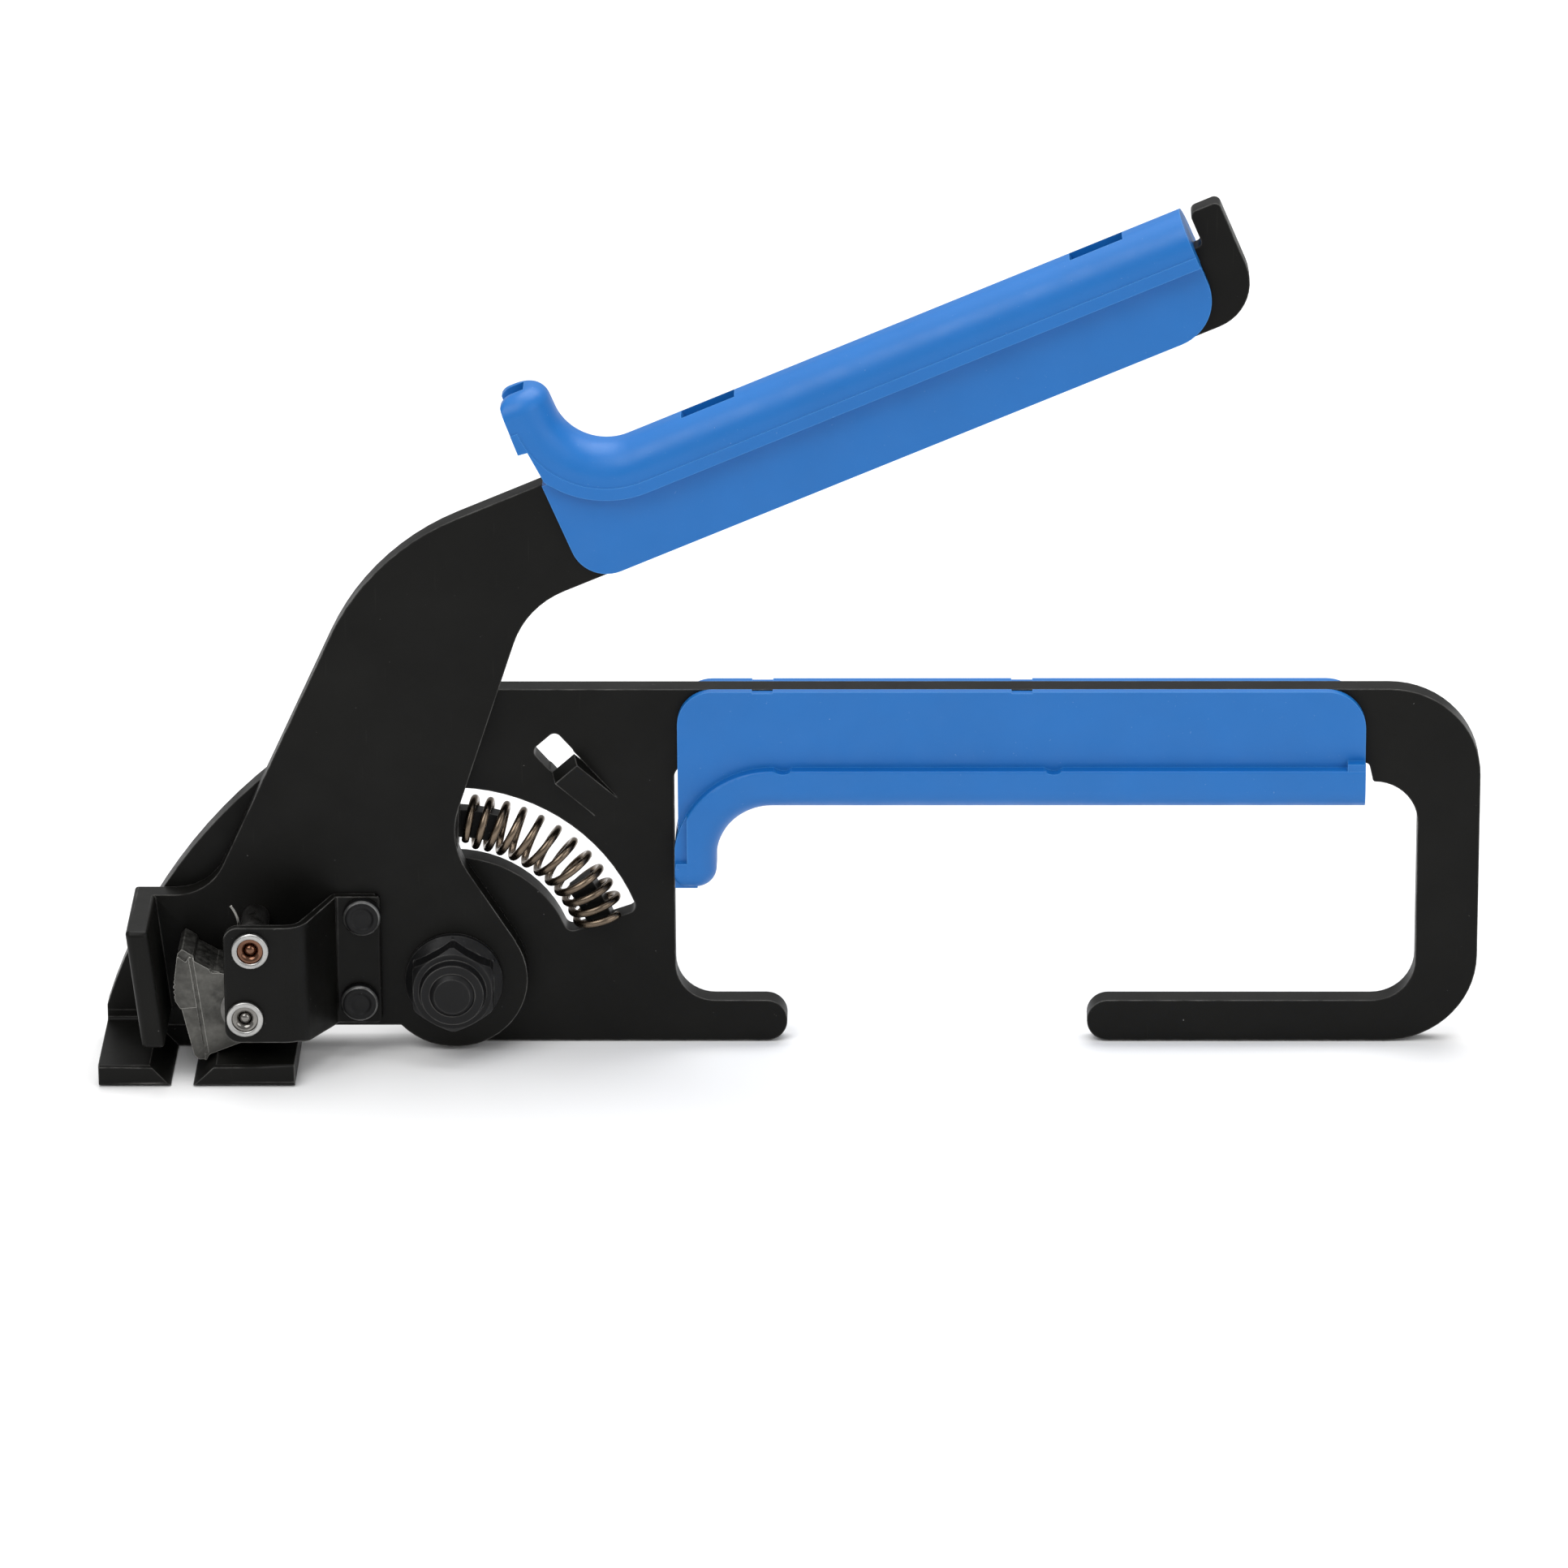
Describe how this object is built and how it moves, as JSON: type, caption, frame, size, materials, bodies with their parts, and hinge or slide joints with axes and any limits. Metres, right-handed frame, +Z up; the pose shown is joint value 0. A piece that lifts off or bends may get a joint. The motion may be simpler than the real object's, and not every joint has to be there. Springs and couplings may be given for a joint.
{
  "type": "strapping tensioner",
  "caption": "Hand strapping tensioner: steel frame with finger guard and slotted foot, sprung lever with moulded grips, and a toothed pawl that grips the strap against a jaw.",
  "frame": {"origin": "middle of the tool in plan, on the surface that its foot and guard stand on", "axes": "+X from the strap foot toward the finger guard, +Z up, front of the tool (pawl side) toward -Y"},
  "size_m": [0.245, 0.0326, 0.1578],
  "materials": {
    "black_oxide_steel": "satin black oxide sheet with tumbled edges",
    "black_fastener": "satin black oxide",
    "blue_moulding": "fine textured blue moulding",
    "zinc_plate": "bright zinc plate",
    "dark_steel": "dark oiled steel",
    "sintered_steel": "grey sintered steel",
    "spring_wire": "oil-tempered spring wire"
  },
  "bodies": {
    "frame": {"frame_plate": "black_oxide_steel", "lower_grip": "blue_moulding", "pivot_bolt": "black_fastener", "pivot_bushing": "dark_steel", "pivot_shim": "dark_steel", "pivot_nut": "black_fastener", "return_spring": "spring_wire"},
    "lever": {"lever_plate": "black_oxide_steel", "upper_grip": "blue_moulding", "pawl_bracket": "black_oxide_steel", "bracket_rivet_upper": "black_fastener", "bracket_rivet_lower": "black_fastener", "anchor_pin": "zinc_plate", "anchor_sleeve": "dark_steel", "pawl_pin": "zinc_plate", "pawl_bushing": "dark_steel", "pawl_spring": "spring_wire", "pawl_washer_front": "dark_steel", "pawl_washer_rear": "dark_steel"},
    "pawl": {"gripper_pawl": "sintered_steel"}
  },
  "joints": [
    {"name": "lever_hinge", "type": "hinge", "parent": "frame", "child": "lever", "pos_m": [-0.05995, 0.00425, 0.0137], "axis": [0, 1, 0], "range_deg": [0, 19], "stiffness_Nm_per_rad": 1.05, "springref_deg": -30, "deforming": ["return_spring"]},
    {"name": "pawl_hinge", "type": "hinge", "parent": "lever", "child": "pawl", "pos_m": [-0.09625, -0.00375, 0.0125], "axis": [0, -1, 0], "range_deg": [0, 23.75]}
  ],
  "couplings": [
    {"joint": "pawl_hinge", "follows": "lever_hinge", "ratio": 1.25}
  ]
}
